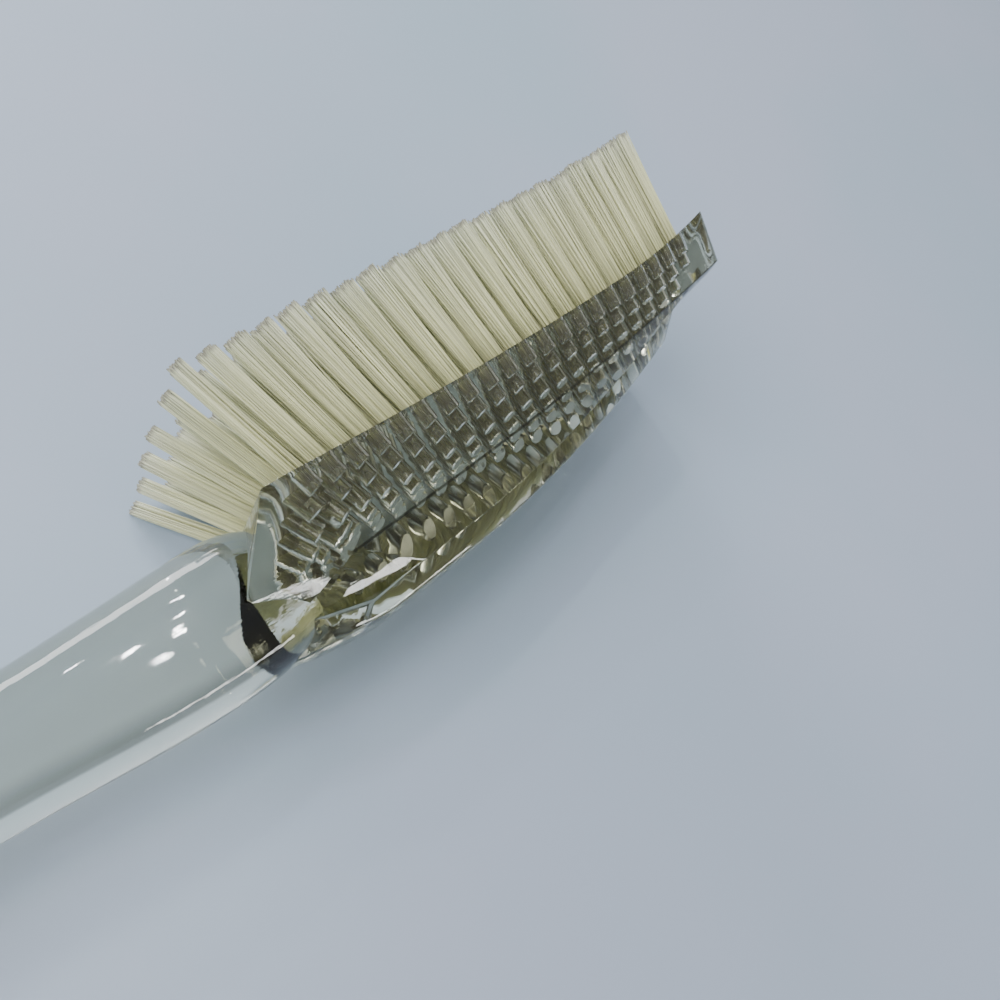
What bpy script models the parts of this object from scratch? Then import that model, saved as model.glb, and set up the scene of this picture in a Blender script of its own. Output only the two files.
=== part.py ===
"""Hair grooming brush in clear acrylic with nylon tufts, at its real size.

Metres, +Z up. The brush lies on the flat of its back with the bristles up.
X runs along it, from the end of the handle (-X) to the toe of the head (+X),
and Y runs across it, with the XZ plane as its mirror plane. The origin is the
middle of its bounding box, at the height of the surface that it lies on.

The head and the handle are both laid out from the bristle face: X from the
first column of tufts, and heights from the heel and toe edges of the face.
"""

import bpy
import bmesh
import numpy as np
from math import cos, pi, radians, sin, sqrt
from mathutils import Vector

# Tuft field
TUFT_PITCH = 0.0040          # from tuft to tuft along the brush
TUFT_COLUMNS = 21            # tufts along the brush
ROW_PITCH = 0.0056           # from row to row across the brush
TUFT_ROWS = 6                # rows across the brush
TUFT_LENGTH = 0.0195         # from the bristle face to the tips
STRANDS_PER_TUFT = 3
STRAND_RADIUS = 0.00042      # of a bundle of filaments, as a three-sided strand
STRAND_SPREAD = 0.00085      # of the strands round a tuft's middle, at the root
TIP_SPREAD = 1.7             # how much wider the tuft is at its tip
ROOT_DEPTH = 0.0010          # of a strand in its slice of the block
SIDE_LEAN = radians(15.0)    # outward lean of the two outer rows
HEEL_LEAN = radians(15.0)    # lean of the first column, toward the handle
TOE_LEAN = radians(7.0)      # lean of the last column, away from the handle

# Head, measured from the middle of the first column of tufts
HEEL_MARGIN = 0.0060         # from the first column to the heel edge of the face
TOE_MARGIN = 0.0078          # from the last column to the toe edge of the face
SIDE_MARGIN = 0.0033         # from an outer row to the side edge of the face
FACE_DIP = 0.0026            # depth of the hollow of the bristle face
DIP_SHARE = 0.70             # where along the face it is deepest
FLANK_LEAN = 0.50            # the flanks lean in by this share of their depth
RIDGE_DEPTH = 0.0118         # from the face's heel edge down to the ridge
HEEL_RIDGE_DEPTH = 0.0085    # the same at the block's heel, where the ridge rises
TOE_RIDGE_DEPTH = 0.0081     # and at its toe
HEEL_RUN = 0.0062            # the heel ridge reaches out past the heel edge
HEEL_RIDGE_HALF_WIDTH = 0.0098
HEEL_BASE_RUN = 0.0038       # the block's foot reaches out past the heel edge
HEEL_BASE_HALF_WIDTH = 0.0052
HEEL_BASE_LIFT = 0.0034      # the block's underside rises this much into the neck
LIFT_LENGTH = 0.0100         # over this length
HEEL_CORNER = 0.0006         # cut off the face's heel corners, across the brush
HEEL_SETBACK = 0.0015        # cut off the face's heel corners, along the brush
HEEL_FOOT = 0.0046           # the ridge starts this far past the cut's end
FOOT_FADE = 0.0250           # and is level with the face's stations after this
TOE_CORNER = 0.0030          # round of the toe corners

# Back plate under the block, in one piece with the handle
HEAD_DEPTH = 0.0203          # from the face's heel edge to the flat of the back
PLATE_THICKNESS = 0.0025
PLATE_HALF_WIDTH = 0.0060    # at the flat of the back
PLATE_END = 0.0162           # the plate stops this far before the toe
FLAT_START = 0.0032          # the flat of the back starts here
FLAT_END = 0.0200            # and ends here, from where it rises to the toe
TOE_LIP = 0.0007             # from the ridge down to the back's line, at the toe edge

# Handle
HANDLE_LENGTH = 0.1012       # from the heel ridge of the block to the end
HANDLE_RISE = 0.0020         # the top of the handle above the face's heel edge
NECK_HALF_WIDTH = 0.0104
NECK_LENGTH = 0.0068         # from the face's heel edge to where the neck starts to thin
NECK_LIFT = 0.0026           # the neck's underside above the flat of the back
GRIP_HALF_WIDTH = 0.0092
GRIP_THICKNESS = 0.0146
TAPER_LENGTH = 0.0460        # over which the neck thins to the grip
HANDLE_SIDES = 32

# Fits
CLEARANCE = 0.0003           # between pieces that are bonded face to face
SLICE_DEPTH = 0.0042         # the drilled layer of the block, cut out as slices
WALL = 0.0015                # of the block round that layer

FIELD_LENGTH = TUFT_PITCH * (TUFT_COLUMNS - 1)
FIELD_HALF_WIDTH = ROW_PITCH * (TUFT_ROWS - 1) / 2
HEEL_X = -HEEL_MARGIN
TOE_X = FIELD_LENGTH + TOE_MARGIN
FACE_LENGTH = TOE_X - HEEL_X
FACE_HALF_WIDTH = FIELD_HALF_WIDTH + SIDE_MARGIN
HEEL_RIDGE_X = HEEL_X - HEEL_RUN
HANDLE_END_X = HEEL_RIDGE_X - HANDLE_LENGTH
PLATE_END_X = TOE_X - PLATE_END
TOE_RISE = HEAD_DEPTH - TOE_RIDGE_DEPTH - TOE_LIP
NECK_THICKNESS = HANDLE_RISE + HEAD_DEPTH - NECK_LIFT
SLICE_LENGTH = TUFT_PITCH - CLEARANCE

# The model is laid out from the first column and the face's heel edge, and
# then placed so that the origin is at the bottom centre of the bounding box.
ORIGIN_X = (HANDLE_END_X + TOE_X) / 2
ORIGIN_Z = -HEAD_DEPTH


def clear_scene():
    """Remove whatever the scene starts with."""
    for obj in list(bpy.data.objects):
        bpy.data.objects.remove(obj, do_unlink=True)


def make_collection(name):
    """Add a collection to the scene."""
    collection = bpy.data.collections.new(name)
    bpy.context.scene.collection.children.link(collection)
    return collection


def make_material(name, color, roughness, alpha=1.0):
    """A plain Principled material."""
    material = bpy.data.materials.new(name)
    material.use_nodes = True
    shader = material.node_tree.nodes["Principled BSDF"]
    shader.inputs["Base Color"].default_value = (*color, 1.0)
    shader.inputs["Roughness"].default_value = roughness
    shader.inputs["Metallic"].default_value = 0.0
    shader.inputs["Alpha"].default_value = alpha
    material.diffuse_color = (*color, alpha)
    return material


def add_object(name, bm, collection, material=None):
    """Make an object of a bmesh, moved to the part's own origin."""
    mesh = bpy.data.meshes.new(name)
    bmesh.ops.recalc_face_normals(bm, faces=bm.faces)
    bm.to_mesh(mesh)
    bm.free()
    if material:
        mesh.materials.append(material)
    obj = bpy.data.objects.new(name, mesh)
    obj.location = (-ORIGIN_X, 0.0, -ORIGIN_Z)
    collection.objects.link(obj)
    return obj


def add_boolean(obj, cutter, operation):
    """Cut or join obj with another object, which only guides the shape."""
    modifier = obj.modifiers.new(operation.title(), "BOOLEAN")
    modifier.operation = operation
    modifier.solver = "EXACT"
    modifier.object = cutter
    cutter.hide_render = True
    cutter.display_type = "WIRE"


def loft(sections):
    """Join sections that mirrored() closed, and cap both ends.

    Twisted faces are split the same way on both sides of the mirror plane, so
    that their corners stand out as facets and never fold in. The caps are
    strips across the mirror plane.
    """
    bm = bmesh.new()
    rings = [[bm.verts.new(point) for point in section] for section in sections]
    count = len(rings[0])
    half = count // 2
    for ring, following in zip(rings, rings[1:]):
        bm.faces.new((ring[-1], ring[0], following[0], following[-1]))
        bm.faces.new((ring[half - 1], ring[half], following[half], following[half - 1]))
        for i in range(half - 1):
            for a, b in ((i, i + 1), (count - 1 - i, count - 2 - i)):
                bm.faces.new((ring[a], ring[b], following[b]))
                bm.faces.new((ring[a], following[b], following[a]))
    for ring in (rings[0], rings[-1]):
        for i in range(half - 1):
            bm.faces.new((ring[i], ring[i + 1], ring[count - 2 - i], ring[count - 1 - i]))
    return bm


def mirrored(half_section):
    """Close a half section, given from top to bottom at +Y, across the mirror plane."""
    return half_section + [(x, -y, z) for x, y, z in reversed(half_section)]


def neck_share(x):
    """How much of the neck's extra size the handle has at x: 1 at the head, 0 on the grip."""
    along = min(max((HEEL_X - NECK_LENGTH - x) / TAPER_LENGTH, 0.0), 1.0)
    return 0.5 + 0.5 * cos(pi * along)


def handle_thickness(x):
    """Height of the handle's oval section."""
    return GRIP_THICKNESS + (NECK_THICKNESS - GRIP_THICKNESS) * neck_share(x)


def face_height(x):
    """Height of the hollow bristle face, zero at its heel and toe edges."""
    deepest = HEEL_X + DIP_SHARE * FACE_LENGTH
    end = HEEL_X if x < deepest else TOE_X
    return -FACE_DIP * (1.0 - ((x - deepest) / (end - deepest)) ** 2)


def toe_share(x):
    """How far x is from the end of the back's flat to the toe edge, 0 to 1."""
    return max(0.0, (x - FLAT_END) / (TOE_X - FLAT_END))


def back_height(x):
    """Height of the underside: flat under the heel, rising to the toe."""
    return -HEAD_DEPTH + TOE_RISE * toe_share(x) ** 1.7


def ridge_height(x):
    """Height of the ridge along the block's sides."""
    return -RIDGE_DEPTH + (RIDGE_DEPTH - TOE_RIDGE_DEPTH) * toe_share(x) ** 1.9


def ridge_half_width(x):
    """Half width of the block at its ridge, under flanks that lean in."""
    return FACE_HALF_WIDTH - FLANK_LEAN * (face_height(x) - ridge_height(x))


def base_height(x, gap):
    """Height of the block's underside, which sits on the back plate."""
    near_neck = (HEEL_X - HEEL_BASE_RUN + LIFT_LENGTH - x) / LIFT_LENGTH
    lift = HEEL_BASE_LIFT * min(max(near_neck, 0.0), 1.0)
    return min(back_height(x) + PLATE_THICKNESS + CLEARANCE + lift, ridge_height(x)) - gap


def base_half_width(x):
    """Half width of the block's underside, where its lower facets meet the plate."""
    whole = ridge_height(x) - back_height(x)
    share = (PLATE_THICKNESS + CLEARANCE) / whole
    return PLATE_HALF_WIDTH + min(share, 1.0) * (ridge_half_width(x) - PLATE_HALF_WIDTH)


def block_sections(gap=0.0):
    """The block's cross-sections from heel to toe, grown all round by a gap."""
    shoulder = HEEL_X + HEEL_SETBACK
    sections = [mirrored([
        (HEEL_X - gap, FACE_HALF_WIDTH - HEEL_CORNER + gap, gap),
        (HEEL_RIDGE_X - gap, HEEL_RIDGE_HALF_WIDTH + gap, -HEEL_RIDGE_DEPTH),
        (HEEL_X - HEEL_BASE_RUN - gap, HEEL_BASE_HALF_WIDTH + gap, base_height(HEEL_RIDGE_X, gap)),
    ])]
    run = TOE_X - TOE_CORNER
    stations = list(np.linspace(shoulder, run, TUFT_COLUMNS + 4))
    stations += [run + TOE_CORNER * sin(pi / 2 * k / 3) for k in (1, 2, 3)]
    for index, x in enumerate(stations):
        turn = max(0.0, (x - run) / TOE_CORNER)
        corner = TOE_CORNER * (1.0 - sqrt(max(0.0, 1.0 - turn * turn)))
        # The ridge and the base start past the heel's cut, at the foot of its crease.
        foot = HEEL_FOOT * max(0.0, 1.0 - (x - shoulder) / FOOT_FADE)
        grow = gap if x < TOE_X - TOE_CORNER else 2 * gap
        sections.append(mirrored([
            (x + grow * (index == len(stations) - 1), FACE_HALF_WIDTH - corner + gap, face_height(x) + gap),
            (x + foot, ridge_half_width(x) - corner + gap, ridge_height(x)),
            (x + foot, base_half_width(x) - corner + gap, base_height(x + foot, gap)),
        ]))
    return sections


def plate_sections():
    """The back plate's cross-sections from inside the neck to its end near the toe."""
    sections = []
    for x in np.linspace(HEEL_RIDGE_X, PLATE_END_X, 26):
        top = base_height(x, CLEARANCE)
        facet = (ridge_half_width(x) - PLATE_HALF_WIDTH) / (ridge_height(x) - back_height(x))
        # In the neck the plate narrows and follows the handle's underside.
        into = max(0.0, (FLAT_START - x) / (FLAT_START - HEEL_RIDGE_X)) ** 1.3
        half_width = PLATE_HALF_WIDTH * (1.0 - 0.7 * into)
        bottom = back_height(x) + into * (HANDLE_RISE - handle_thickness(x) - back_height(x) + CLEARANCE)
        sections.append(mirrored([
            (x, half_width + facet * (top - back_height(x)), top),
            (x, half_width, bottom),
        ]))
    return sections


def handle_sections():
    """Oval sections from the handle's rounded end to the block's heel."""
    front = HEEL_X - 2 * CLEARANCE
    end_round = GRIP_HALF_WIDTH
    # Stations crowd toward the rounded end.
    rounded = [HANDLE_END_X + end_round * (1.0 - cos(pi / 2 * k / 7)) for k in range(1, 8)]
    straight = list(np.linspace(HANDLE_END_X + end_round, front, 18))[1:]
    sections = []
    for x in rounded + straight:
        half_width = GRIP_HALF_WIDTH + (NECK_HALF_WIDTH - GRIP_HALF_WIDTH) * neck_share(x)
        thickness = handle_thickness(x)
        into = min(1.0, (x - HANDLE_END_X) / end_round)
        size = sqrt(1.0 - (1.0 - into) ** 2)
        middle = HANDLE_RISE - thickness / 2
        angles = [pi / 2 - 2 * pi * (k + 0.5) / HANDLE_SIDES for k in range(HANDLE_SIDES // 2)]
        sections.append(mirrored([
            (x, half_width * size * cos(a), middle + thickness / 2 * size * sin(a)) for a in angles
        ]))
    return sections


def make_handle_and_back(parts, cutters, material):
    """The handle and the plate under the head, one moulding, cut to the block's heel."""
    handle = add_object("handle_and_back", loft(handle_sections()), parts, material)
    plate = add_object("plate_shape", loft(plate_sections()), cutters)
    seat = add_object("block_seat", loft(block_sections(CLEARANCE)), cutters)
    add_boolean(handle, seat, "DIFFERENCE")
    add_boolean(handle, plate, "UNION")
    handle.data.shade_smooth()
    handle.data.set_sharp_from_angle(angle=radians(35))
    return handle


def slice_half_width(depth):
    """Half width of a slice at a depth under the face, in step with the flanks."""
    return FACE_HALF_WIDTH - WALL - CLEARANCE - FLANK_LEAN * depth


def pocket_sections():
    """The pocket in the block's face that takes the drilled slices."""
    start = -SLICE_LENGTH / 2 - CLEARANCE
    end = FIELD_LENGTH + SLICE_LENGTH / 2 + CLEARANCE
    above = FACE_DIP * 2
    below = SLICE_DEPTH + CLEARANCE
    return [mirrored([
        (x, slice_half_width(-above) + CLEARANCE, face_height(x) + above),
        (x, slice_half_width(below) + CLEARANCE, face_height(x) - below),
    ]) for x in np.linspace(start, end, TUFT_COLUMNS + 1)]


def make_tuft_block(parts, cutters, material):
    """The faceted block that holds the tufts, hollowed for the drilled layer."""
    block = add_object("tuft_block", loft(block_sections()), parts, material)
    pocket = add_object("slice_pocket", loft(pocket_sections()), cutters)
    add_boolean(block, pocket, "DIFFERENCE")
    return block


def lean_at(x, y):
    """Direction in which the bristles grow at a point of the field."""
    along = 2.0 * x / FIELD_LENGTH - 1.0
    lean_x = -HEEL_LEAN + (HEEL_LEAN + TOE_LEAN) * (along + 1.0) / 2.0
    lean_y = SIDE_LEAN * y / FIELD_HALF_WIDTH
    return Vector((sin(lean_x), sin(lean_y), 1.0)).normalized()


def add_strand(bm, base, tip, turn):
    """A closed three-sided strand from base to tip."""
    axis = (tip - base).normalized()
    side = Vector((0.0, 1.0, 0.0)).cross(axis).normalized()
    other = axis.cross(side)
    rings = []
    for centre in (base, tip):
        ring = []
        for k in range(3):
            angle = turn + 2 * pi * k / 3
            offset = side * cos(angle) + other * sin(angle)
            ring.append(bm.verts.new(centre + offset * STRAND_RADIUS))
        rings.append(ring)
    for k in range(3):
        j = (k + 1) % 3
        bm.faces.new((rings[0][k], rings[0][j], rings[1][j], rings[1][k]))
    bm.faces.new(list(reversed(rings[0])))
    bm.faces.new(rings[1])


def add_tuft(bm, x, y):
    """The strands of one tuft, spread round its middle and wider at the tips."""
    top = face_height(x)
    grow = lean_at(x, y)
    hand = 1.0 if y > 0 else -1.0
    for k in range(STRANDS_PER_TUFT):
        angle = hand * 2 * pi * (k + 0.25) / STRANDS_PER_TUFT
        spread = Vector((cos(angle), sin(angle), 0.0)) * STRAND_SPREAD
        root = Vector((x, y, top)) + spread
        tip = Vector((x, y, top)) + grow * TUFT_LENGTH + spread * TIP_SPREAD
        below = (tip - root).normalized() * (ROOT_DEPTH / grow.z)
        add_strand(bm, root - below, tip, angle)


def make_tuft_row(index, parts, cutters, material):
    """One column of tufts across the brush, standing in its slice of the block."""
    x = index * TUFT_PITCH
    slice_bm = bmesh.new()
    bmesh.ops.create_cube(slice_bm, size=1.0)
    for vert in slice_bm.verts:
        at = x + vert.co.x * SLICE_LENGTH
        depth = 0.0 if vert.co.z > 0 else SLICE_DEPTH
        vert.co = (at, vert.co.y * 2 * slice_half_width(depth), face_height(at) - depth)
    name = f"tuft_row_{index + 1:02d}"
    row = add_object(name, slice_bm, parts, material)

    strands = bmesh.new()
    for k in range(TUFT_ROWS):
        add_tuft(strands, x, k * ROW_PITCH - FIELD_HALF_WIDTH)
    bristles = add_object(f"{name}_strands", strands, cutters)
    add_boolean(row, bristles, "UNION")
    return row


def main():
    """Build the brush."""
    clear_scene()
    parts = make_collection("hair_brush")
    cutters = make_collection("cutters")
    acrylic = make_material("clear_acrylic", (0.80, 0.83, 0.78), 0.12, alpha=0.35)
    block_acrylic = make_material("block_acrylic", (0.70, 0.72, 0.62), 0.15, alpha=0.45)
    nylon = make_material("nylon_bristle", (0.80, 0.76, 0.62), 0.45)
    make_handle_and_back(parts, cutters, acrylic)
    make_tuft_block(parts, cutters, block_acrylic)
    for index in range(TUFT_COLUMNS):
        make_tuft_row(index, parts, cutters, nylon)


main()
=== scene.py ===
"""A hair brush of clear acrylic with cream nylon tufts, lying on its side on a pale table.

Metres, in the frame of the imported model: X along the brush to the toe, Y across
it, Z the way the bristles point, with the flat of the back at Z 0.
"""

import random
from math import atan2, copysign, cos, pi, radians, sin, sqrt

import bmesh
import bpy
from mathutils import Matrix, Vector


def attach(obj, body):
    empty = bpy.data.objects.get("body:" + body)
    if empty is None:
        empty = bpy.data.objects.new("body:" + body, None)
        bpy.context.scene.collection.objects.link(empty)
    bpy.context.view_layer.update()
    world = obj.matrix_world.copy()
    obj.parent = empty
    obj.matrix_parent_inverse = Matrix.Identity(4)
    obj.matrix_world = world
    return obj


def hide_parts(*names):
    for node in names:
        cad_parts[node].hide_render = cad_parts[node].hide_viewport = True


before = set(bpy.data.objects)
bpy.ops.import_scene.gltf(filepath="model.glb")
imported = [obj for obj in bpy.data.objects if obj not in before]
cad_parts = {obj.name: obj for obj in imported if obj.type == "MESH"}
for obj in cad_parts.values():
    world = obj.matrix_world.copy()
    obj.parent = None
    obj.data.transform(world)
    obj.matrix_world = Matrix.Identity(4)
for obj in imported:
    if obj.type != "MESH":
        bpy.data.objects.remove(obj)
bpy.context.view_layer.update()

bpy.ops.object.select_all(action="DESELECT")

# The camera stands close over the brush, on its near side, and looks along the
# bristle face almost edge on. The brush points up to the right in the picture.
CAMERA_PLACE = Vector((-0.03502, -0.12026, -0.00541))
CAMERA_RIGHT = Vector((0.66676, -0.38008, -0.64106))
CAMERA_UP = Vector((0.51590, -0.38537, 0.76507))

bpy.ops.object.camera_add()
camera = bpy.context.object
camera.name = "camera"
camera_axes = Matrix((CAMERA_RIGHT, CAMERA_UP, CAMERA_RIGHT.cross(CAMERA_UP))).transposed()
camera.matrix_world = Matrix.Translation(CAMERA_PLACE) @ camera_axes.to_4x4()
camera.data.lens = 34.23
camera.data.sensor_width = 36.0
camera.data.clip_start = 0.005
bpy.context.scene.camera = camera

# The table that the brush lies on, on its far side: a pale blue-grey top with
# faint clouding. It shows from its own side only, so that the other views,
# from behind it, still show the brush.
TABLE_TOUCH = Vector((0.0500, 0.0215, 0.0300))
TABLE_NORMAL = Vector((0.070, -1.0, 0.020)).normalized()

bpy.ops.mesh.primitive_plane_add(size=3.0)
table = bpy.context.object
table.name = "table_top"
table.rotation_mode = "QUATERNION"
table.rotation_quaternion = TABLE_NORMAL.to_track_quat("Z", "Y")
table.location = TABLE_TOUCH
bpy.ops.object.transform_apply(location=True, rotation=True, scale=True)

table_paint = bpy.data.materials.new("table_paint")
table_paint.use_nodes = True
nodes = table_paint.node_tree.nodes
links = table_paint.node_tree.links
shader = nodes["Principled BSDF"]
shader.inputs["Roughness"].default_value = 0.55
where = nodes.new("ShaderNodeTexCoord")
cloud = nodes.new("ShaderNodeTexNoise")
cloud.inputs["Scale"].default_value = 9.0
cloud.inputs["Detail"].default_value = 4.0
tone = nodes.new("ShaderNodeValToRGB")
tone.color_ramp.elements[0].position = 0.35
tone.color_ramp.elements[0].color = (0.325, 0.415, 0.520, 1.0)
tone.color_ramp.elements[1].position = 0.65
tone.color_ramp.elements[1].color = (0.370, 0.425, 0.540, 1.0)
links.new(where.outputs["Object"], cloud.inputs["Vector"])
links.new(cloud.outputs["Fac"], tone.inputs["Fac"])
links.new(tone.outputs["Color"], shader.inputs["Base Color"])
# A faint glow in the table's own colour is painted light that lifts the shadows on it.
links.new(tone.outputs["Color"], shader.inputs["Emission Color"])
shader.inputs["Emission Strength"].default_value = 0.02
side = nodes.new("ShaderNodeNewGeometry")
gone = nodes.new("ShaderNodeBsdfTransparent")
which = nodes.new("ShaderNodeMixShader")
links.new(side.outputs["Backfacing"], which.inputs["Fac"])
links.new(shader.outputs["BSDF"], which.inputs[1])
links.new(gone.outputs["BSDF"], which.inputs[2])
links.new(which.outputs["Shader"], nodes["Material Output"].inputs["Surface"])
table.data.materials.append(table_paint)

# The tuft block: a cast and polished block of clear acrylic with a hollow
# bristle face, flanks that lean in to a ridge and round toe corners. A bar is
# cut into stations, drawn to the section at each, and faceted at the heel.
FACE_EDGE_Z = 0.0203
HEEL_EDGE_X = 0.0068
TOE_EDGE_X = 0.1006
FACE_LENGTH = TOE_EDGE_X - HEEL_EDGE_X
FACE_HALF_WIDTH = 0.0173
FACE_DIP = 0.0026
DIP_X = HEEL_EDGE_X + 0.70 * FACE_LENGTH
FLANK_LEAN = 0.50
RIDGE_Z = 0.0085
TOE_RIDGE_Z = 0.0122
FLAT_END_X = 0.0328
TOE_RISE = 0.0115
BACK_CURVE = 1.7
RIDGE_CURVE = 1.9
PLATE_START_X = 0.0006
PLATE_THICKNESS = 0.0028
PLATE_HALF_WIDTH = 0.0060
NECK_LIFT = 0.0034
LIFT_LENGTH = 0.0100
LIFT_END_X = 0.0130
BLOCK_START_X = -0.0012
TOE_CORNER = 0.0030
STRAIGHT_SHARE = 0.80
INTO_PLATE = 0.0002
LEAST_FLANK = 0.0003
BLOCK_EDGE = 0.00035


def face_z(x):
    """Height of the hollow bristle face."""
    end = HEEL_EDGE_X if x < DIP_X else TOE_EDGE_X
    share = (x - DIP_X) / (end - DIP_X)
    return FACE_EDGE_Z - FACE_DIP * (1.0 - min(share * share, 1.0))


def toe_share(x):
    """How far x is from the end of the back's flat to the toe edge, 0 to 1."""
    return min(max(0.0, (x - FLAT_END_X) / (TOE_EDGE_X - FLAT_END_X)), 1.0)


def back_z(x):
    """Height of the underside of the back plate."""
    return TOE_RISE * toe_share(x) ** BACK_CURVE


def ridge_z(x):
    """Height of the ridge along the block's sides."""
    return RIDGE_Z + (TOE_RIDGE_Z - RIDGE_Z) * toe_share(x) ** RIDGE_CURVE


def base_z(x):
    """Height of the block's underside, which rises into the neck at the heel."""
    lift = NECK_LIFT * min(max((LIFT_END_X - x) / LIFT_LENGTH, 0.0), 1.0)
    return min(back_z(x) + PLATE_THICKNESS + lift, ridge_z(x))


def ridge_half_width(x):
    """Half width of the block at its ridge."""
    return FACE_HALF_WIDTH - FLANK_LEAN * (face_z(x) - ridge_z(x))


def flank_half_width(x, z):
    """Half width of the lower flank at a height under the ridge."""
    share = (z - back_z(x)) / (ridge_z(x) - back_z(x))
    return PLATE_HALF_WIDTH + share * (ridge_half_width(x) - PLATE_HALF_WIDTH)


def select_edges_along_x(obj):
    """In edit mode, select only the edges that run along X."""
    bm = bmesh.from_edit_mesh(obj.data)
    for edge in bm.edges:
        run = edge.verts[1].co - edge.verts[0].co
        edge.select_set(abs(run.x) > 0.9 * run.length)
    bm.select_mode = {"EDGE"}
    bm.select_flush_mode()
    bmesh.update_edit_mesh(obj.data)


def add_station_box(cuts, splits):
    """A unit box of clear acrylic, cut into stations along X and split across its middle."""
    bpy.ops.object.select_all(action="DESELECT")
    bpy.ops.mesh.primitive_cube_add(size=1.0)
    box = bpy.context.object
    box.data.materials.append(clear_acrylic)
    bpy.ops.object.mode_set(mode="EDIT")
    bpy.ops.mesh.select_mode(type="EDGE")
    select_edges_along_x(box)
    bpy.ops.mesh.subdivide(number_cuts=cuts)
    for split in splits:
        bpy.ops.mesh.select_all(action="SELECT")
        bpy.ops.mesh.bisect(plane_co=(0, 0, 0), plane_no=split)
    bpy.ops.object.mode_set(mode="OBJECT")
    return box


def polish_edges(obj, segments, sharpest):
    """Round the edges that turn by more than an angle."""
    edges = obj.modifiers.new("polished_edges", "BEVEL")
    edges.width = BLOCK_EDGE
    edges.segments = segments
    edges.limit_method = "ANGLE"
    edges.angle_limit = sharpest
    bpy.ops.object.modifier_apply(modifier=edges.name)


clear_acrylic = bpy.data.materials.new("clear_acrylic_polished")
body = add_station_box(47, ((0, 0, 1), (0, 1, 0)))
body.name = "clear_body"
for vert in body.data.vertices:
    # The last fifth of the stations crowds round the toe's corners.
    share = (vert.co.x + 0.5) / STRAIGHT_SHARE
    if share <= 1.0:
        x = BLOCK_START_X + share * (TOE_EDGE_X - TOE_CORNER - BLOCK_START_X)
        corner = 0.0
    else:
        turn = pi / 2 * min((share - 1.0) / (1.0 / STRAIGHT_SHARE - 1.0), 1.0)
        x = TOE_EDGE_X - TOE_CORNER * (1.0 - sin(turn))
        corner = TOE_CORNER * (1.0 - cos(turn))
    hand = 2.0 * vert.co.y
    if vert.co.z > 0.1:
        vert.co = (x, hand * (FACE_HALF_WIDTH - corner), face_z(x))
    elif vert.co.z > -0.1:
        vert.co = (x, hand * (ridge_half_width(x) - corner), ridge_z(x))
    else:
        z = min(base_z(x) - INTO_PLATE, ridge_z(x) - LEAST_FLANK)
        vert.co = (x, hand * (flank_half_width(x, z) - corner), z)

# The heel is cut back to the handle in flat facets: three down each side and a
# ramp in two steps, from the bristle face down to the foot in the neck.
FACE_CORNER = (0.0068, 0.0167, 0.0203)
CREASE_TOP = (0.0083, 0.0173, 0.0199)
CREASE_FOOT = (0.0129, 0.0115, 0.0085)
HEEL_RIDGE = (-0.0007, 0.0106, 0.0116)
HEEL_FOOT = (0.0018, 0.0052, 0.0062)

bpy.ops.object.mode_set(mode="EDIT")
for hand in (-1.0, 1.0):
    for cut in (
            (CREASE_TOP, CREASE_FOOT, FACE_CORNER),
            (FACE_CORNER, CREASE_FOOT, HEEL_RIDGE),
            (CREASE_FOOT, HEEL_RIDGE, HEEL_FOOT)):
        a, b, c = (Vector((p[0], hand * p[1], p[2])) for p in cut)
        facing = (b - a).cross(c - a).normalized()
        if facing.x > 0:
            facing = -facing
        bpy.ops.mesh.select_all(action="SELECT")
        bpy.ops.mesh.bisect(plane_co=a, plane_no=facing, clear_outer=True, use_fill=True)
for top, foot in ((FACE_CORNER, HEEL_RIDGE), (HEEL_RIDGE, HEEL_FOOT)):
    facing = Vector((foot[2] - top[2], 0.0, top[0] - foot[0])).normalized()
    bpy.ops.mesh.select_all(action="SELECT")
    bpy.ops.mesh.bisect(plane_co=top, plane_no=facing, clear_outer=True, use_fill=True)
bpy.ops.object.mode_set(mode="OBJECT")
polish_edges(body, 3, radians(20))

# The plane of the uppermost side facet cuts away the two below it as well. A
# wedge fills out each of those again, a hair inside its corners.
WEDGE_INSIDE = Vector((0.00004, -0.00004, -0.00003))

wedges = []
for corners in ((FACE_CORNER, HEEL_RIDGE, CREASE_FOOT), (HEEL_RIDGE, HEEL_FOOT, CREASE_FOOT)):
    bpy.ops.object.select_all(action="DESELECT")
    bpy.ops.mesh.primitive_cylinder_add(vertices=3, radius=1.0, depth=1.0, rotation=(pi / 2, 0.0, 0.0))
    wedge = bpy.context.object
    wedge.data.materials.append(clear_acrylic)
    bpy.ops.object.transform_apply(location=True, rotation=True, scale=True)
    for vert in wedge.data.vertices:
        corner = Vector(corners[round(atan2(vert.co.x, vert.co.z) / (2 * pi / 3)) % 3]) + WEDGE_INSIDE
        vert.co = (corner.x, copysign(corner.y, vert.co.y), corner.z)
    bpy.ops.object.mode_set(mode="EDIT")
    bpy.ops.mesh.select_all(action="SELECT")
    bpy.ops.mesh.normals_make_consistent(inside=False)
    bpy.ops.object.mode_set(mode="OBJECT")
    wedges.append(wedge)

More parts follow.
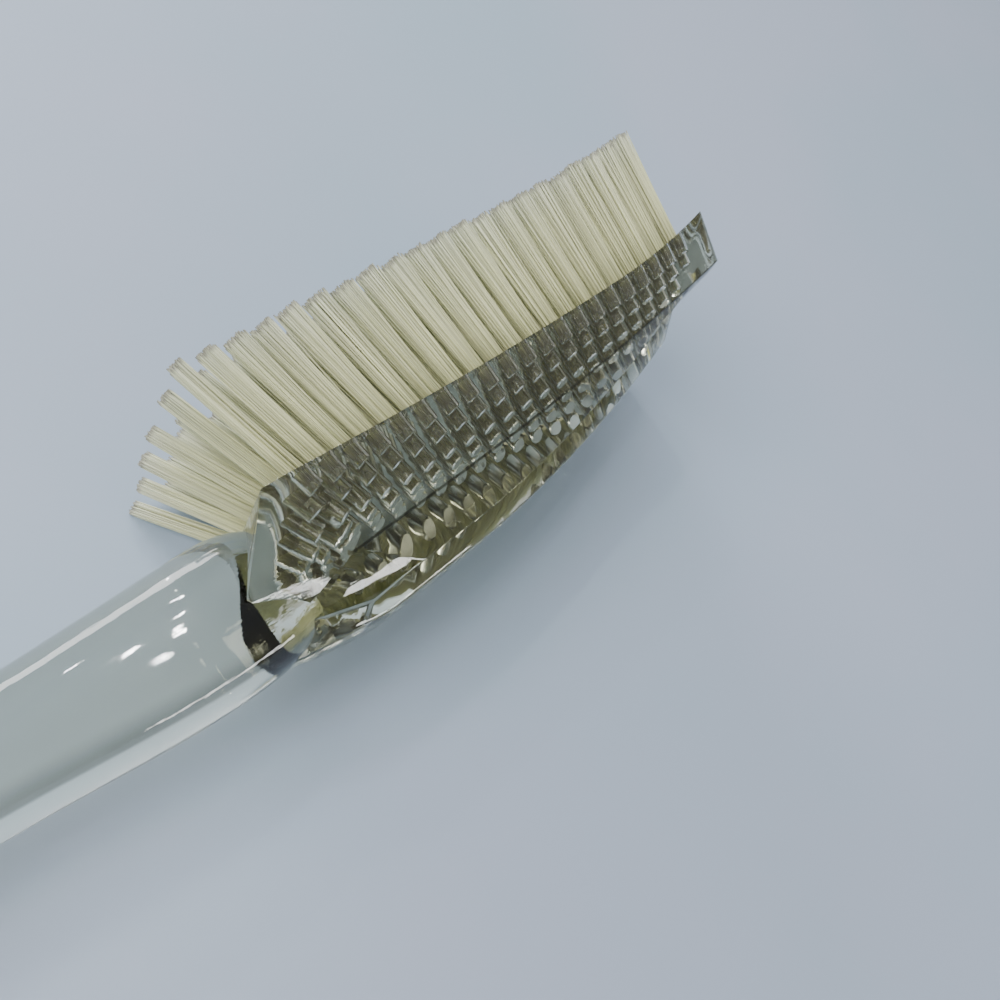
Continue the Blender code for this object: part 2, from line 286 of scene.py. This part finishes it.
# The handle: a thick rounded bar of the same acrylic, moulded in one with the
# thin plate under the block. The joint to the block is bonded and polished out.
HANDLE_TOP_Z = 0.0223
HANDLE_END_X = -0.1006
HANDLE_FRONT_X = 0.0120
NECK_HALF_WIDTH = 0.0104
NECK_THICKNESS = 0.0197
NECK_START_X = 0.0
GRIP_HALF_WIDTH = 0.0092
GRIP_THICKNESS = 0.0146
TAPER_LENGTH = 0.0460
PLATE_END_X = 0.0844
FLAT_START_X = 0.0160
END_FLAT = 0.00002
JOINT_START_X = -0.0030
HEEL_STOP_X = 0.0070
STOP_SHRINK = 0.16
SUNK_SHRINK = 0.24
STOP_NARROWING = 0.10
STOP_DROP = 0.0006
HANDLE_SQUARENESS = 2.7
PLATE_NARROWING = 0.7
PLATE_ENTRY_CURVE = 1.3
PLATE_INSET = 0.0001
INTO_NECK = 0.0003


def neck_share(x):
    """How much of the neck's extra size the handle has at x."""
    along = min(max((NECK_START_X - x) / TAPER_LENGTH, 0.0), 1.0)
    return 0.5 + 0.5 * cos(pi * along)


def handle_thickness(x):
    """Height of the handle's oval section."""
    return GRIP_THICKNESS + (NECK_THICKNESS - GRIP_THICKNESS) * neck_share(x)


bpy.ops.object.select_all(action="DESELECT")
bpy.ops.mesh.primitive_cylinder_add(vertices=72, radius=1.0, depth=1.0, rotation=(0.0, pi / 2, 0.0))
handle = bpy.context.object
handle.data.materials.append(clear_acrylic)
bpy.ops.object.transform_apply(location=True, rotation=True, scale=True)
bpy.ops.object.mode_set(mode="EDIT")
bpy.ops.mesh.select_mode(type="EDGE")
select_edges_along_x(handle)
bpy.ops.mesh.subdivide(number_cuts=71)
bpy.ops.object.mode_set(mode="OBJECT")
for vert in handle.data.vertices:
    share = 0.5 + 0.5 * sin(pi * vert.co.x)
    x = HANDLE_END_X + END_FLAT + share * (HANDLE_FRONT_X - HANDLE_END_X)
    into = min(1.0, (x - HANDLE_END_X) / GRIP_HALF_WIDTH)
    size = sqrt(1.0 - (1.0 - into) ** 2)
    half_width = GRIP_HALF_WIDTH + (NECK_HALF_WIDTH - GRIP_HALF_WIDTH) * neck_share(x)
    thickness = handle_thickness(x)
    middle = HANDLE_TOP_Z - thickness / 2
    # The front end narrows to the heel's facets, then sinks into the block.
    front = min(max(0.0, (x - JOINT_START_X) / (HEEL_STOP_X - JOINT_START_X)), 1.0)
    sunk = max(0.0, (x - HEEL_STOP_X) / (HANDLE_FRONT_X - HEEL_STOP_X))
    size *= 1.0 - STOP_SHRINK * front ** 3 - SUNK_SHRINK * sunk
    middle -= STOP_DROP * front ** 3
    half_width *= 1.0 - STOP_NARROWING * sqrt(front)
    # The oval is a little squared.
    reach = abs(vert.co.y) ** HANDLE_SQUARENESS + abs(vert.co.z) ** HANDLE_SQUARENESS
    out = reach ** (-1.0 / HANDLE_SQUARENESS)
    vert.co = (x, half_width * size * out * vert.co.y, middle + thickness / 2 * size * out * vert.co.z)

# The plate runs on from the handle under the block. Its underside comes down
# from the neck to the flat of the back, and its top stays just inside the block.
plate = add_station_box(39, ((0, 1, 0),))
for vert in plate.data.vertices:
    x = PLATE_START_X + (vert.co.x + 0.5) * (PLATE_END_X - PLATE_START_X)
    into = max(0.0, (FLAT_START_X - x) / (FLAT_START_X - PLATE_START_X)) ** PLATE_ENTRY_CURVE
    lowest = back_z(x) + into * (HANDLE_TOP_Z - handle_thickness(x) - back_z(x) + INTO_NECK)
    z = base_z(x) - PLATE_INSET if vert.co.z > 0 else lowest
    slope = flank_half_width(x, base_z(x)) - PLATE_HALF_WIDTH
    half_width = PLATE_HALF_WIDTH * (1.0 - PLATE_NARROWING * into) - PLATE_INSET + slope * (vert.co.z > 0)
    vert.co = (x, 2.0 * vert.co.y * half_width, z)
polish_edges(plate, 2, radians(30))

# The blind holes, drilled in the hollow face the way that each tuft leans, 21
# along the brush and 6 across it. The drill leaves a small chamfer at the bottom.
TUFT_PITCH = 0.0040
ROW_PITCH = 0.0056
FIRST_TUFT_X = 0.0128
TUFT_COLUMNS = 21
TUFT_ROWS = 6
FIELD_HALF_WIDTH = ROW_PITCH * (TUFT_ROWS - 1) / 2
HOLE_RADIUS = 0.00135
HOLE_DEPTH = 0.0024
MIDDLE_DEEPER = 0.0026
DRILL_ABOVE = 0.0015
ROW_STAGGER = 0.0010
SIDE_LEAN = radians(13.5)
HEEL_LEAN = radians(16.5)
TOE_LEAN = radians(4.5)
HEEL_COLUMNS = 3.0
HEEL_FANS = (0.0, 2.0, 9.0, 11.0, 13.0, 17.0)
CHAMFER_SHARE = 0.16
CHAMFER_RISE = 0.12


def tuft_place(column, row):
    """Where a tuft stands on the face, and the direction that it leans in."""
    stagger = ROW_STAGGER * (1 if row % 2 else -1) * min(1.0, column / HEEL_COLUMNS)
    x = FIRST_TUFT_X + column * TUFT_PITCH + stagger
    y = row * ROW_PITCH - FIELD_HALF_WIDTH
    along = 2.0 * column / (TUFT_COLUMNS - 1) - 1.0
    lean_x = -HEEL_LEAN + (HEEL_LEAN + TOE_LEAN) * (along + 1.0) / 2.0
    lean_y = SIDE_LEAN * y / FIELD_HALF_WIDTH
    # The first columns fan out over the handle, least of all in the near row.
    lean_x -= radians(HEEL_FANS[row]) * max(0.0, 1.0 - column / HEEL_COLUMNS) ** 1.5
    return Vector((x, y, face_z(x))), Vector((sin(lean_x), sin(lean_y), 1.0)).normalized()


def hole_depth(column, row):
    """The holes are deepest in the middle rows, and the more so the thicker the block is."""
    x = FIRST_TUFT_X + column * TUFT_PITCH
    deeper = ((face_z(x) - ridge_z(x)) / (FACE_EDGE_Z - RIDGE_Z)) ** 1.5
    return HOLE_DEPTH + MIDDLE_DEEPER * deeper * (1.0 - abs(row * ROW_PITCH / FIELD_HALF_WIDTH - 1.0))


def join_copies(original, fit):
    """One object made of a copy of the original at every tuft, each fitted to its place."""
    copies = []
    for column in range(TUFT_COLUMNS):
        for row in range(TUFT_ROWS):
            place, lean = tuft_place(column, row)
            turn = lean.to_track_quat("Z", "Y").to_matrix().to_4x4()
            copy = original.copy()
            copy.data = original.data.copy()
            bpy.context.scene.collection.objects.link(copy)
            along = fit(copy.data, hole_depth(column, row))
            copy.data.transform(Matrix.Translation(place + lean * along) @ turn)
            copies.append(copy)
    bpy.data.objects.remove(original)
    bpy.ops.object.select_all(action="DESELECT")
    for copy in copies:
        copy.select_set(True)
    bpy.context.view_layer.objects.active = copies[0]
    bpy.ops.object.join()
    return bpy.context.object


def deepen_drill(mesh, depth):
    """Lower a drill's tip to the depth of its hole; returns where its middle goes."""
    for vert in mesh.vertices:
        if vert.co.z < 0:
            vert.co.z -= depth - HOLE_DEPTH
    return (DRILL_ABOVE - HOLE_DEPTH) / 2


bpy.ops.object.select_all(action="DESELECT")
bpy.ops.mesh.primitive_cylinder_add(vertices=20, radius=HOLE_RADIUS, depth=HOLE_DEPTH + DRILL_ABOVE)
drill = bpy.context.object
drilled_acrylic = bpy.data.materials.new("clear_acrylic_drilled")
drill.data.materials.append(drilled_acrylic)
bpy.ops.object.mode_set(mode="EDIT")
bpy.ops.mesh.select_mode(type="FACE")
bm = bmesh.from_edit_mesh(drill.data)
for face in bm.faces:
    face.select_set(face.normal.z < -0.9)
bmesh.update_edit_mesh(drill.data)
bpy.ops.mesh.inset(thickness=HOLE_RADIUS * CHAMFER_SHARE)
bpy.ops.transform.translate(value=(0.0, 0.0, -HOLE_RADIUS * CHAMFER_RISE))
bpy.ops.object.mode_set(mode="OBJECT")
holes = join_copies(drill, deepen_drill)

# The wedges, the handle and the plate grow into the block, and the drills cut
# it. The walls of the holes keep the drills' own material.
bpy.ops.object.select_all(action="DESELECT")
body.select_set(True)
bpy.context.view_layer.objects.active = body
tools = [(wedge, "UNION") for wedge in wedges]
tools += [(handle, "UNION"), (plate, "UNION"), (holes, "DIFFERENCE")]
for tool, operation in tools:
    work = body.modifiers.new("work", "BOOLEAN")
    work.operation = operation
    work.solver = "EXACT"
    work.material_mode = "TRANSFER"
    work.object = tool
    bpy.ops.object.modifier_apply(modifier=work.name)
    bpy.data.objects.remove(tool)
bpy.ops.object.mode_set(mode="EDIT")
bpy.ops.mesh.select_all(action="SELECT")
bpy.ops.mesh.remove_doubles(threshold=0.000002)
bpy.ops.mesh.normals_make_consistent(inside=False)
bpy.ops.object.mode_set(mode="OBJECT")
bpy.ops.object.shade_smooth_by_angle(angle=radians(28))
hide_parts("handle_and_back", "tuft_block")
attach(body, "root")

# The two acrylics, outside and in the holes, share their tint: light that
# passes through a thick part of either turns faintly olive.
ACRYLIC_IOR = 1.49
OLIVE = (0.76, 0.76, 0.22, 1.0)
OLIVE_DENSITY = 10.0


def add_math(operation, *values):
    """A Math node on sockets or plain numbers, in the material at hand."""
    node = nodes.new("ShaderNodeMath")
    node.operation = operation
    for socket, value in zip(node.inputs, values):
        if isinstance(value, float):
            socket.default_value = value
        else:
            links.new(value, socket)
    return node.outputs["Value"]


def add_range(value, low, high, start=0.0, end=1.0, kind="SMOOTHSTEP"):
    """A step between two values, in the material at hand."""
    node = nodes.new("ShaderNodeMapRange")
    node.interpolation_type = kind
    links.new(value, node.inputs["Value"])
    for name, number in (("From Min", low), ("From Max", high), ("To Min", start), ("To Max", end)):
        node.inputs[name].default_value = number
    return node.outputs["Result"]


def tint_inside():
    """Fill the material at hand with the olive tint."""
    tint = nodes.new("ShaderNodeVolumeAbsorption")
    tint.inputs["Color"].default_value = OLIVE
    tint.inputs["Density"].default_value = OLIVE_DENSITY
    links.new(tint.outputs["Volume"], nodes["Material Output"].inputs["Volume"])


# The holes' walls are left a little rough by the drill.
drilled_acrylic.use_nodes = True
nodes = drilled_acrylic.node_tree.nodes
links = drilled_acrylic.node_tree.links
shader = nodes["Principled BSDF"]
shader.inputs["Base Color"].default_value = (1.0, 1.0, 0.94, 1.0)
shader.inputs["Transmission Weight"].default_value = 0.96
shader.inputs["IOR"].default_value = ACRYLIC_IOR
where = nodes.new("ShaderNodeTexCoord")
chatter = nodes.new("ShaderNodeTexNoise")
chatter.inputs["Scale"].default_value = 1800.0
chatter.inputs["Detail"].default_value = 2.0
links.new(where.outputs["Object"], chatter.inputs["Vector"])
links.new(add_range(chatter.outputs["Fac"], 0.35, 0.65, 0.05, 0.22, "LINEAR"), shader.inputs["Roughness"])
tint_inside()

# The outside is polished. Fine scratches run along it, most of all on the
# handle, where hands have rubbed it.
clear_acrylic.use_nodes = True
nodes = clear_acrylic.node_tree.nodes
links = clear_acrylic.node_tree.links
shader = nodes["Principled BSDF"]
shader.inputs["Transmission Weight"].default_value = 1.0
shader.inputs["IOR"].default_value = ACRYLIC_IOR
where = nodes.new("ShaderNodeTexCoord")
stretch = nodes.new("ShaderNodeMapping")
stretch.inputs["Scale"].default_value = (330.0, 2600.0, 2600.0)
scratch = nodes.new("ShaderNodeTexNoise")
scratch.inputs["Scale"].default_value = 1.0
scratch.inputs["Detail"].default_value = 1.0
rub = nodes.new("ShaderNodeBump")
rub.inputs["Strength"].default_value = 0.60
rub.inputs["Distance"].default_value = 0.000022
place = nodes.new("ShaderNodeSeparateXYZ")
links.new(where.outputs["Object"], stretch.inputs["Vector"])
links.new(stretch.outputs["Vector"], scratch.inputs["Vector"])
links.new(where.outputs["Object"], place.inputs["Vector"])
worn = add_range(place.outputs["X"], 0.004, 0.014, 1.0, 0.12, "LINEAR")
links.new(add_math("MULTIPLY", scratch.outputs["Fac"], worn), rub.inputs["Height"])
links.new(rub.outputs["Normal"], shader.inputs["Normal"])
links.new(add_range(scratch.outputs["Fac"], 0.45, 0.75, 0.02, 0.07, "LINEAR"), shader.inputs["Roughness"])
tint_inside()

# Painted shade along the ridge: a thin dark line in place of the shade that the polished crease shows,
# with a row of painted dark dots under it at the pitch of the tufts, where the holes' ends show through the
# flank.
RIDGE_SHADE_CORE = 0.00010
RIDGE_SHADE_EDGE = 0.00026
RIDGE_SHADE_START_X = 0.0128
RIDGE_SHADE_FULL_X = 0.0132
HOLE_SPOTS_BELOW = 0.0008

along_toe = add_math("MAXIMUM", add_math("SUBTRACT", place.outputs["X"], FLAT_END_X), 0.0)
rising = add_math("POWER", add_math("DIVIDE", along_toe, TOE_EDGE_X - FLAT_END_X), RIDGE_CURVE)
ridge_line = add_math("MULTIPLY_ADD", rising, TOE_RIDGE_Z - RIDGE_Z, RIDGE_Z)
under_ridge = add_math("SUBTRACT", place.outputs["Z"], ridge_line)
painted_ridge_line = add_range(add_math("ABSOLUTE", under_ridge), RIDGE_SHADE_CORE, RIDGE_SHADE_EDGE, 1.0, 0.0)
# Painted dark dots, one per tuft, stand in for the holes' ends seen through the flank.
step = add_math("PINGPONG", add_math("ADD", place.outputs["X"], 0.1), TUFT_PITCH / 2)
off_row = add_math("ADD", under_ridge, HOLE_SPOTS_BELOW)
hole_spot_reach = add_math("ADD", add_math("MULTIPLY", step, step), add_math("MULTIPLY", off_row, off_row))
painted_hole_spots = add_range(hole_spot_reach, 0.00000005, 0.00000012, 0.85, 0.0)
on_block = add_range(place.outputs["X"], RIDGE_SHADE_START_X, RIDGE_SHADE_FULL_X)
painted_ridge_shade = add_math("MULTIPLY", add_math("MAXIMUM", painted_ridge_line, painted_hole_spots), on_block)
# Painted shade: a dark olive band along the handle's lower side, in place of the dark surroundings that the
# rounded bar bends into view there.
neck = add_range(place.outputs["X"], NECK_START_X - TAPER_LENGTH, NECK_START_X)
underside = add_math("MULTIPLY_ADD", neck, GRIP_THICKNESS - NECK_THICKNESS, HANDLE_TOP_Z - GRIP_THICKNESS)
rise = add_math("SUBTRACT", place.outputs["Z"], underside)
painted_underside_shade = add_math("MULTIPLY", add_range(rise, 0.0012, 0.0016), add_range(rise, 0.0020, 0.0048, 1.0, 0.0))
painted_underside_shade = add_math("MULTIPLY", painted_underside_shade, add_range(place.outputs["X"], 0.0, 0.005, 0.80, 0.0))
# The painted shade of the ridge and of the handle's underside mixes a dark olive into the acrylic's colour.
shade = nodes.new("ShaderNodeMix")
shade.data_type = "RGBA"
shade.inputs["A"].default_value = (0.955, 0.965, 0.935, 1.0)
shade.inputs["B"].default_value = (0.05, 0.05, 0.035, 1.0)
links.new(add_math("MAXIMUM", painted_ridge_shade, painted_underside_shade), shade.inputs["Factor"])
links.new(shade.outputs["Result"], shader.inputs["Base Color"])

# The wire staples: each tuft is folded over a short bent wire that bites into
# the sides of its hole and holds it there.
WIRE_RADIUS = 0.00012
STAPLE_LIFT = 0.0004
STAPLE_RADIUS = HOLE_RADIUS * 0.62

bpy.ops.object.select_all(action="DESELECT")
bpy.ops.mesh.primitive_torus_add(
    major_segments=14, minor_segments=5, major_radius=STAPLE_RADIUS, minor_radius=WIRE_RADIUS,
    rotation=(pi / 2, 0.0, 0.0))
staple = bpy.context.object
bpy.ops.object.transform_apply(location=True, rotation=True, scale=True)
bpy.ops.object.mode_set(mode="EDIT")
bpy.ops.mesh.select_all(action="SELECT")
bpy.ops.mesh.bisect(plane_co=(0, 0, 0.0001), plane_no=(0, 0, -1), clear_outer=True)
bpy.ops.mesh.select_all(action="SELECT")
bpy.ops.mesh.fill_holes(sides=0)
bpy.ops.mesh.normals_make_consistent(inside=False)
bpy.ops.object.mode_set(mode="OBJECT")
wire = join_copies(staple, lambda mesh, depth: STAPLE_LIFT - depth)
wire.name = "wire_staples"
wire.data.shade_smooth()
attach(wire, "root")

steel = bpy.data.materials.new("staple_wire")
steel.use_nodes = True
shader = steel.node_tree.nodes["Principled BSDF"]
shader.inputs["Base Color"].default_value = (0.62, 0.60, 0.55, 1.0)
shader.inputs["Metallic"].default_value = 1.0
shader.inputs["Roughness"].default_value = 0.28
wire.data.materials.clear()
wire.data.materials.append(steel)

# The tufts: cream nylon filaments, packed tight in each hole and fanned out to
# the trimmed tips. Each filament is one four-sided strand with a bend at the
# mouth of the hole and another half way up.
TUFT_LENGTH = 0.0195
ROOT_DEPTH = 0.0014
FILAMENTS = 110
FILAMENT_RADIUS = 0.000108
ROOT_SPREAD = 0.00124
TIP_SPREAD = 0.00180
HEEL_TIP_SHARE = 0.62
TIP_JITTER = 0.00010
MOUTH_SPREAD = 1.02
MOUTH_SHARE = 0.06
HALFWAY_FAN = 0.42
GOLDEN_TURN = pi * (3.0 - sqrt(5.0))

nylon = bpy.data.materials.new("nylon_filament")
nylon.use_nodes = True
nodes = nylon.node_tree.nodes
links = nylon.node_tree.links
shader = nodes["Principled BSDF"]
shader.inputs["Roughness"].default_value = 0.45
shader.inputs["Transmission Weight"].default_value = 0.12
shader.inputs["IOR"].default_value = 1.53
along = nodes.new("ShaderNodeAttribute")
along.attribute_name = "along"
# The filaments' colour runs along them: the cream of the nylon, with painted shade darkening it towards the
# roots in the holes and at the cut tips.
cream_and_painted_shade = nodes.new("ShaderNodeValToRGB")
cream_and_painted_shade.color_ramp.elements[0].position = 0.0
cream_and_painted_shade.color_ramp.elements[0].color = (0.30, 0.28, 0.17, 1.0)
cream_and_painted_shade.color_ramp.elements[1].position = MOUTH_SHARE
cream_and_painted_shade.color_ramp.elements[1].color = (0.50, 0.50, 0.26, 1.0)
for position, color in (
        (0.30, (0.74, 0.74, 0.44, 1.0)), (0.75, (0.76, 0.77, 0.51, 1.0)),
        (0.965, (0.74, 0.76, 0.57, 1.0)), (1.0, (0.33, 0.32, 0.26, 1.0))):
    cream_and_painted_shade.color_ramp.elements.new(position).color = color
each = nodes.new("ShaderNodeAttribute")
each.attribute_name = "filament"
vary = nodes.new("ShaderNodeHueSaturation")
links.new(along.outputs["Fac"], cream_and_painted_shade.inputs["Fac"])
links.new(cream_and_painted_shade.outputs["Color"], vary.inputs["Color"])
links.new(add_range(each.outputs["Fac"], 0.0, 1.0, 0.80, 1.15, "LINEAR"), vary.inputs["Value"])
links.new(vary.outputs["Color"], shader.inputs["Base Color"])

chance = random.Random(7)
for column in range(TUFT_COLUMNS):
    points, faces, alongs, tones = [], [], [], []
    for row in range(TUFT_ROWS):
        place, lean = tuft_place(column, row)
        trim = chance.uniform(-0.0003, 0.0002)
        # The heel's tufts are the slimmest.
        tip_spread = TIP_SPREAD * (HEEL_TIP_SHARE + (1.0 - HEEL_TIP_SHARE) * min(1.0, column / HEEL_COLUMNS))
        across = Vector((0.0, 1.0, 0.0)).cross(lean).normalized()
        other = lean.cross(across)
        for k in range(FILAMENTS):
            ring = sqrt((k + 0.5) / FILAMENTS)
            angle = k * GOLDEN_TURN + chance.uniform(-0.3, 0.3)
            out = across * cos(angle) + other * sin(angle)
            bow = out * ring * ROOT_SPREAD
            fan = out * ring * tip_spread * chance.uniform(0.85, 1.12)
            fan += Vector((chance.gauss(0, 1), chance.gauss(0, 1), 0)) * TIP_JITTER
            length = TUFT_LENGTH + trim + chance.uniform(-0.0005, 0.0002)
            knots = [
                (place - lean * ROOT_DEPTH + bow, 0.0),
                (place + bow * MOUTH_SPREAD, MOUTH_SHARE),
                (place + lean * length * 0.5 + bow.lerp(fan, HALFWAY_FAN), 0.5),
                (place + lean * length + fan, 1.0),
            ]
            start = len(points)
            turn = chance.uniform(0.0, pi / 2)
            tone = chance.random()
            for centre, share in knots:
                for corner in range(4):
                    a = turn + corner * pi / 2
                    points.append(centre + (across * cos(a) + other * sin(a)) * FILAMENT_RADIUS)
                    alongs.append(share)
                    tones.append(tone)
            for level in range(len(knots) - 1):
                for corner in range(4):
                    a = start + level * 4 + corner
                    b = start + level * 4 + (corner + 1) % 4
                    faces.append((a, b, b + 4, a + 4))
            faces.append((start + 3, start + 2, start + 1, start))
            last = start + 4 * (len(knots) - 1)
            faces.append((last, last + 1, last + 2, last + 3))
    mesh = bpy.data.meshes.new(f"bristle_tufts_{column + 1:02d}")
    mesh.from_pydata(points, [], faces)
    mesh.attributes.new("along", "FLOAT", "POINT").data.foreach_set("value", alongs)
    mesh.attributes.new("filament", "FLOAT", "POINT").data.foreach_set("value", tones)
    tufts = bpy.data.objects.new(mesh.name, mesh)
    bpy.context.scene.collection.objects.link(tufts)
    mesh.materials.append(nylon)
    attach(tufts, "root")
    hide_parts(f"tuft_row_{column + 1:02d}")

# Soft daylight, bluish from above the table and yellowish from round it, a high
# window over the handle's side, low ones beyond and before the brush, and an
# arc of small lamps that glint on the handle.
WATCHED = Vector((-0.02, 0.0, 0.015))

world = bpy.data.worlds.new("pale_room")
bpy.context.scene.world = world
world.use_nodes = True
nodes = world.node_tree.nodes
links = world.node_tree.links
way = nodes.new("ShaderNodeTexCoord")
facing_window = nodes.new("ShaderNodeVectorMath")
facing_window.operation = "DOT_PRODUCT"
facing_window.inputs[1].default_value = (0.10, -0.72, 0.62)
sky = nodes.new("ShaderNodeValToRGB")
sky.color_ramp.elements[0].position = 0.12
sky.color_ramp.elements[0].color = (0.86, 0.86, 0.76, 1.0)
sky.color_ramp.elements[1].position = 0.60
sky.color_ramp.elements[1].color = (0.84, 0.88, 0.92, 1.0)
links.new(way.outputs["Generated"], facing_window.inputs[0])
links.new(facing_window.outputs["Value"], sky.inputs["Fac"])
links.new(sky.outputs["Color"], nodes["Background"].inputs["Color"])
nodes["Background"].inputs["Strength"].default_value = 0.56


def add_panel(name, way, width, height, power):
    """A lamp panel a metre from the brush, facing it."""
    facing = Vector(way).normalized()
    bpy.ops.object.light_add(type="AREA", location=WATCHED + facing)
    lamp = bpy.context.object
    lamp.name = name
    lamp.data.shape = "RECTANGLE"
    lamp.data.size = width
    lamp.data.size_y = height
    lamp.data.energy = power
    flat = Vector((1.0, 0.0, 0.0)) - facing * facing.x
    flat.normalize()
    axes = Matrix((flat, facing.cross(flat), facing)).transposed()
    lamp.matrix_world = Matrix.Translation(lamp.location) @ axes.to_4x4()


add_panel("high_window", (-0.50, -0.79, 0.36), 0.75, 0.60, 10.0)
add_panel("low_window", (0.25, -0.19, 0.95), 0.60, 0.30, 8.0)
add_panel("far_window", (0.25, -0.10, -0.96), 0.60, 0.07, 2.6)
for index, way in enumerate((
        (0.26, -0.11, 0.96), (0.25, -0.62, 0.74), (0.23, -0.78, 0.55), (0.21, -0.92, 0.31),
        (0.19, -0.95, 0.18), (0.14, -0.99, 0.07), (0.12, -0.95, 0.25), (0.08, -0.82, 0.54))):
    add_panel(f"small_lamp_{index + 1}", way, 0.022, 0.022, 0.60)
